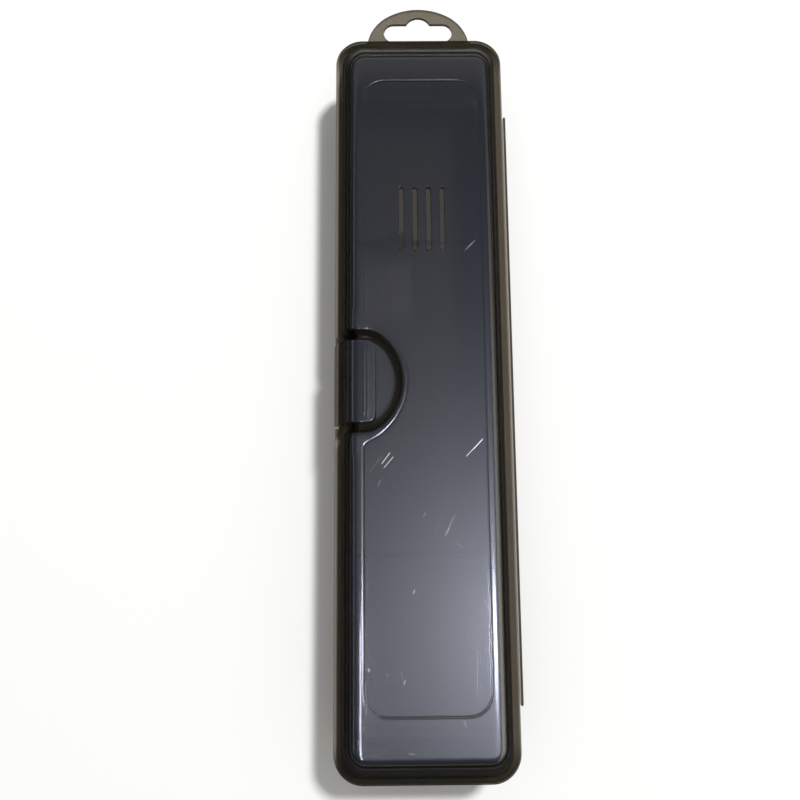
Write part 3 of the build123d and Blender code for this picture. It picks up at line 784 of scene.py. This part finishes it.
def wear_group():
    """Scratched is how strong the fine scratches are: the greatest, over all of them, of a ramp down with the
    distance from the scratch's line between its ends."""
    group = bpy.data.node_groups.new("fine_wear", "ShaderNodeTree")
    group.interface.new_socket("Scratched", in_out="OUTPUT", socket_type="NodeSocketFloat")
    out = group.nodes.new("NodeGroupOutput").inputs
    place = group.nodes.new("ShaderNodeTexCoord").outputs["Object"]
    parts = shader_node(group, "ShaderNodeSeparateXYZ", _0=place).outputs
    flat = shader_node(group, "ShaderNodeCombineXYZ", _0=parts["X"], _1=parts["Y"]).outputs[0]
    value = 0.0
    for x0, y0, x1, y1, width, strength in SCRATCHES:
        start, run = Vector((x0, y0, 0)) * MM, Vector((x1 - x0, y1 - y0, 0)) * MM
        way = run.normalized()
        gone = vector_maths(group, "SUBTRACT", "Vector", _0=flat, _1=start)
        along = vector_maths(group, "DOT_PRODUCT", "Value", _0=gone, _1=way)
        kept = span(group, along, 0.0, run.length, 0.0, run.length)
        nearest = vector_maths(group, "SCALE", "Vector", _0=way, Scale=kept)
        apart = vector_maths(group, "DISTANCE", "Value", _0=gone, _1=nearest)
        mark = span(group, apart, SCRATCH_CORE * width * MM, width * MM, strength, 0.0)
        value = maths(group, "MAXIMUM", value, mark)
    group.links.new(value, out["Scratched"])
    return group


# Colours of the plastic's body and tints of what goes through it, and how rough and glossy it is. Some
# colours
# are painted light or shade: a lighter outer edge and darker short ends of the flange band, and a pale inner
# floor and pale ribs in the base
FACE_BODY, FLANGE_BODY = (0.02, 0.018, 0.016), (0.185, 0.16, 0.128)
# The flange band's outer edge gets a painted light, and its two short ends a painted shade
RIM_PAINTED_LIGHT, END_PAINTED_SHADE = (0.6, 0.55, 0.46), (0.036, 0.034, 0.026)
SMOKE_TINT, WALL_TINT, STRIP_TINT = (0.51, 0.485, 0.425), (0.125, 0.125, 0.108), (0.36, 0.31, 0.26)
# The ribs' pale blue-grey body is painted light, like the base's floor, so their shaded faces don't show dark
RIB_TINT, RIB_PAINTED_LIGHT = (0.92, 0.92, 0.93), (0.42, 0.44, 0.52)
# The base floor colour is a painted light on the base's upward faces
LATCH_BAND, STRIP_BAND, BASE_FLOOR_PAINTED_LIGHT = (0.42, 0.36, 0.31), (0.13, 0.115, 0.10), (0.48, 0.50, 0.62)
FILM_TINT, FILM_BODY = (0.9, 0.88, 0.85), (0.75, 0.72, 0.68)
SMOKE_COVERS, BASE_FLOOR_LIGHT_COVER, RIB_COVERS, FILM_COVERS = (0.10, 0.35), 0.58, (0.16, 0.16), (0.3, 0.3)
PLASTIC_IOR, GLOSS_ROUGHNESS, PLAIN_ROUGHNESS, PLAIN_GLOSS = 1.5, 0.1, 0.4, 0.06
MOUTH_REACH, FLAP_REACH = (0.0211, 0.0019, 0.0), (0.0225, 0.0042, 1.0)

FINISH, WEAR = finish_group(), wear_group()


def group_node(tree, group):
    """Adds a node that carries a group."""
    made = tree.nodes.new("ShaderNodeGroup")
    made.node_tree = group
    return made


def smoke_material(
    name, tint=SMOKE_TINT, body=FACE_BODY, covers=SMOKE_COVERS, upward=None, band=None, wall=WALL_TINT,
    reach=MOUTH_REACH, worn=False,
):
    """Clear plastic: part of the light goes through tinted and the rest meets a body colour; gloss lies over
    both by Fresnel. The big faces, the flange band and the walls differ. The covers are for the faces and the
    band; upward faces may have a colour and a cover of their own, which on the base is a painted light, and
    the band a colour. Without a band colour, the band gets a painted shade towards the two short ends and a
    painted light along its outer edge. The reach is the band's middle, its half height, and whether it takes
    in any lean. A worn face has its scratches."""
    material, tree, output = new_material(name)
    finish = group_node(tree, FINISH)
    for socket, value in zip(finish.inputs, reach):
        socket.default_value = value
    masks = finish.outputs
    face, cover = body, covers[0]
    if upward:
        # Painted light: upward faces take a pale colour and a cover of their own
        face = colour_mix(tree, masks["Upward"], body, upward[0])
        cover = span(tree, masks["Upward"], 0.0, 1.0, covers[0], upward[1])
    if worn:
        marks = product(tree, group_node(tree, WEAR).outputs["Scratched"], masks["Upward"])
        cover = added(tree, cover, product(tree, marks, SCRATCH_COVER))
        face = colour_mix(tree, marks, face, SCRATCH_COLOUR)
    if not band:
        # Painted shade: the band is darker towards the two short ends
        band = colour_mix(tree, masks["Ends"], FLANGE_BODY, END_PAINTED_SHADE)
        # Painted light: the band's outer edge along the sides, wider on the latch side, is lighter
        band = colour_mix(tree, masks["Rim"], band, RIM_PAINTED_LIGHT)
    cover = put(tree, "ShaderNodeMapRange", Value=masks["Flange"], To_Min=cover, To_Max=covers[1])
    rough = span(tree, masks["Polished"], 0.0, 1.0, PLAIN_ROUGHNESS, GLOSS_ROUGHNESS)
    clear = put(tree, "ShaderNodeBsdfTransparent", Color=colour_mix(tree, masks["Steep"], tint, wall))
    colour = colour_mix(tree, masks["Flange"], face, band)
    solid = put(
        tree, "ShaderNodeBsdfPrincipled",
        Base_Color=colour, Roughness=rough, IOR=PLASTIC_IOR, Specular_IOR_Level=0.0,
    )
    gloss = put(tree, "ShaderNodeBsdfGlossy", Roughness=rough)
    fresnel = put(tree, "ShaderNodeFresnel", IOR=PLASTIC_IOR)
    weight = product(tree, fresnel, span(tree, masks["Polished"], 0.0, 1.0, PLAIN_GLOSS, 1.0))
    mass = put(tree, "ShaderNodeMixShader", _0=cover, _1=clear, _2=solid)
    whole = put(tree, "ShaderNodeMixShader", _0=weight, _1=mass, _2=gloss)
    tree.links.new(whole, output.inputs["Surface"])
    return material


FLOOR_HALF, FLOOR_WHITE = 3.0, (0.97, 0.97, 0.97, 1)


def make_floor():
    """A wide white floor that keeps the case's shadow."""
    corners = [(x * FLOOR_HALF, y * FLOOR_HALF, 0) for x, y in ((-1, -1), (1, -1), (1, 1), (-1, 1))]
    mesh = bpy.data.meshes.new("floor")
    mesh.from_pydata(corners, [], [(0, 1, 2, 3)])
    floor = bpy.data.objects.new("floor", mesh)
    bpy.context.collection.objects.link(floor)
    material, tree, output = new_material("floor_white")
    tree.links.new(put(tree, "ShaderNodeBsdfDiffuse", Color=FLOOR_WHITE), output.inputs["Surface"])
    mesh.materials.append(material)


# The soft lights that the gloss shows, in degrees, each with its strength last. A patch has two tilts,
# towards +X and towards +Y: where it starts, is full, is last full and ends
WIDE_SOURCE = Vector((0.219, -0.124, 0.968)).normalized()
WIDE_CORE, WIDE_STRENGTH = (3.7, 5.1), 28.0
HALO_STRENGTH, HALO_SPREAD = 22.0, 7.0
SIDE_STRIP = (-7.5, -6.8, -5.7, -5.0), (-26.0, -20.0, -7.6, -5.4), 60.0
LEFT_BAND = (-46.0, -43.0, -39.0, -36.0), (-30.0, -20.0, 30.0, 42.0), 2.0
LOW_BAND = (30.0, 36.0, 56.0, 66.0), (-60.0, -30.0, -10.0, 42.0), 5.0
FAR_BAND = (-40.0, -25.0, 25.0, 40.0), (30.9, 31.7, 38.0, 44.0), 0.7
COOL_LIGHT, WARM_LIGHT = (0.77, 0.81, 1.0, 1), (1.0, 0.93, 0.82, 1)

# The two skies, one that the gloss shows and one that lights the case: colour, ceiling and horizon
GLOSS_SKY, ROOM_SKY = ((0.54, 0.66, 1.0, 1), 0.75, 0.05), ((1.0, 0.99, 0.95, 1), 0.55, 0.15)
SKY_FROM, SKY_TO = 0.3, 0.95


def long_patch(tree, parts, across, along, strength):
    """A soft-edged oblong of light, from its tilts in degrees towards +X and towards +Y."""
    value = strength
    for part, (start, full, last, end) in ((parts["X"], across), (parts["Y"], along)):
        tilt = product(tree, maths(tree, "ARCTAN2", part, parts["Z"]), math.degrees(1))
        value = product(tree, value, rise(tree, tilt, start, full))
        value = product(tree, value, fall(tree, tilt, last, end))
    return value


def sky(tree, up, colour, ceiling, horizon):
    """A sky that brightens from its horizon to its ceiling."""
    strength = span(tree, up, SKY_FROM, SKY_TO, horizon, ceiling)
    return put(tree, "ShaderNodeBackground", Color=colour, Strength=strength)


def make_world():
    """A pale studio whose ceiling fades to a dim horizon. The gloss also shows a wide soft light, with a halo
    that falls off as e to the minus angle from its middle; a bright narrow strip along one side; and three
    dim patches. The camera sees plain white."""
    world = bpy.data.worlds.new("studio")
    bpy.context.scene.world = world
    world.use_nodes = True
    tree = world.node_tree
    tree.nodes.clear()
    output = tree.nodes.new("ShaderNodeOutputWorld")
    place = tree.nodes.new("ShaderNodeTexCoord").outputs["Generated"]
    parts = shader_node(tree, "ShaderNodeSeparateXYZ", _0=place).outputs
    towards = vector_maths(tree, "DOT_PRODUCT", "Value", _0=place, _1=WIDE_SOURCE)
    wide = product(tree, maths(tree, "ARCCOSINE", towards), math.degrees(1))
    halo = product(tree, maths(tree, "EXPONENT", product(tree, wide, -1 / HALO_SPREAD)), HALO_STRENGTH)
    core = span(tree, wide, WIDE_CORE[1], WIDE_CORE[0], 0.0, WIDE_STRENGTH)
    side, left, low, far = (
        long_patch(tree, parts, *patch) for patch in (SIDE_STRIP, LEFT_BAND, LOW_BAND, FAR_BAND)
    )
    cool = added(tree, added(tree, halo, core), added(tree, side, left))
    cool = put(tree, "ShaderNodeBackground", Color=COOL_LIGHT, Strength=cool)
    warm = put(tree, "ShaderNodeBackground", Color=WARM_LIGHT, Strength=added(tree, low, far))
    gloss_sky, room_sky = (sky(tree, parts["Z"], *values) for values in (GLOSS_SKY, ROOM_SKY))
    lights = put(tree, "ShaderNodeAddShader", _0=cool, _1=warm)
    gloss = put(tree, "ShaderNodeAddShader", _0=gloss_sky, _1=lights)
    white = put(tree, "ShaderNodeBackground", Color=(1, 1, 1, 1))
    path = tree.nodes.new("ShaderNodeLightPath").outputs
    lit = put(tree, "ShaderNodeMixShader", _0=path["Is Glossy Ray"], _1=room_sky, _2=gloss)
    seen = put(tree, "ShaderNodeMixShader", _0=path["Is Camera Ray"], _1=lit, _2=white)
    tree.links.new(seen, output.inputs["Surface"])


KEY_PLACE, KEY_AIM, KEY_SIZE, KEY_POWER = Vector((0.76, 0.92, 2.2)), Vector((0, 0, 0.03)), 0.3, 49.0


def make_key_lamp():
    """A soft square lamp that faces the middle of the case."""
    lamp = bpy.data.lights.new("key", "AREA")
    lamp.shape, lamp.size, lamp.energy = "SQUARE", KEY_SIZE, KEY_POWER
    stand = bpy.data.objects.new("key", lamp)
    turn = (KEY_PLACE - KEY_AIM).to_track_quat("Z", "Y").to_matrix().to_4x4()
    stand.matrix_world = Matrix.Translation(KEY_PLACE) @ turn
    stand.visible_glossy = False
    bpy.context.collection.objects.link(stand)


def make_camera():
    """Stands the camera over the case, looking down with a small tilt towards the hang tab."""
    lens = bpy.data.cameras.new("camera")
    lens.sensor_width, lens.lens = CAMERA_SENSOR, CAMERA_LENS
    lens.sensor_fit = "HORIZONTAL"
    lens.clip_start = 0.01
    eye = bpy.data.objects.new("camera", lens)
    turn = (
        Matrix.Rotation(math.radians(CAMERA_PAN), 4, "Y")
        @ Matrix.Rotation(math.radians(CAMERA_TILT), 4, "X")
        @ Matrix.Rotation(math.radians(CAMERA_ROLL), 4, "Z")
    )
    eye.matrix_world = Matrix.Translation([c * MM for c in CAMERA_PLACE]) @ turn
    bpy.context.collection.objects.link(eye)
    bpy.context.scene.camera = eye


make_camera()
bpy.context.scene.view_settings.view_transform = "Standard"

smoke = smoke_material("smoke_plastic", worn=True)
# The base's upward faces, mostly its inner floor, get a pale blue-grey painted light
base_smoke = smoke_material("smoke_base", upward=(BASE_FLOOR_PAINTED_LIGHT, BASE_FLOOR_LIGHT_COVER))
# The ribs' material carries a pale painted light
rib_smoke = smoke_material("smoke_rib", RIB_TINT, RIB_PAINTED_LIGHT, RIB_COVERS, wall=RIB_TINT)
latch_smoke = smoke_material("smoke_latch", band=LATCH_BAND, reach=FLAP_REACH)
deep_smoke = smoke_material("smoke_strip", STRIP_TINT, band=STRIP_BAND)
film = smoke_material("film_plastic", FILM_TINT, FILM_BODY, FILM_COVERS, band=FILM_BODY, wall=FILM_TINT)

lid = lid_surface().finish("lid_moulding", "lid", "smoke_plastic", smoke)
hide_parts("lid_shell")
base = base_surface().finish("base_moulding", "base", "smoke_plastic", base_smoke)
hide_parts("base_shell")
for place, y in enumerate(CRADLE_YS):
    cradle_surface(y).finish(f"cradle_rib_{place}", "base", "smoke_plastic", rib_smoke)
flap = flap_surface().finish("latch_strap", "latch", "smoke_plastic", latch_smoke)
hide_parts("latch_flap")
snap_surface().finish("snap_rib", "latch", "smoke_plastic", smoke)
spine = spine_surface().finish("hinge_strip", "spine", "smoke_plastic", deep_smoke)
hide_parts("hinge_spine")
for name in ("base_hinge_film", "lid_hinge_film", "latch_hinge_film"):
    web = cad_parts[name]
    web.data.materials.clear()
    web.data.materials.append(film)

make_floor()
make_world()
make_key_lamp()
